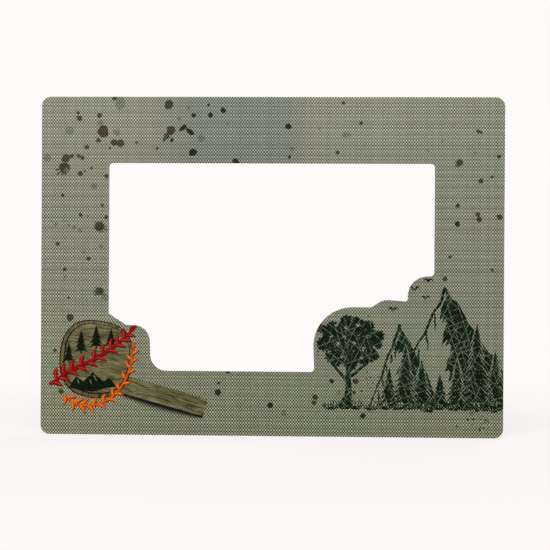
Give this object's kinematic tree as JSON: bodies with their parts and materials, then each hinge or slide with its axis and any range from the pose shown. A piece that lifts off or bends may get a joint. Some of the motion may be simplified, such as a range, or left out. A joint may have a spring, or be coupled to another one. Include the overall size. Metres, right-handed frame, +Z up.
{
  "type": "magnetic photo frame",
  "caption": "Flat flexible magnetic photo frame: a wide printed border around a landscape window whose lower corners are cut as rounded swells; it clings to steel over a print.",
  "frame": {"origin": "centre of the back plane, which is the magnetic face; it lies in the middle of the frame's outline, level with the open window", "axes": "+X along the frame to the viewer's right, +Y out of the magnetic back into the surface it clings to, +Z up; the printed front faces -Y"},
  "size_m": [0.2, 0.001, 0.1466],
  "materials": {
    "magnet_rubber": "matt dark brown ferrite rubber",
    "adhesive": "cloudy acrylic film",
    "printed_face": "olive-grey printed weave on white stock",
    "clear_film": "satin clear film"
  },
  "bodies": {
    "root": {"magnet_sheet": "magnet_rubber", "adhesive_film": "adhesive", "printed_sheet": "printed_face", "clear_laminate": "clear_film"}
  },
  "joints": []
}
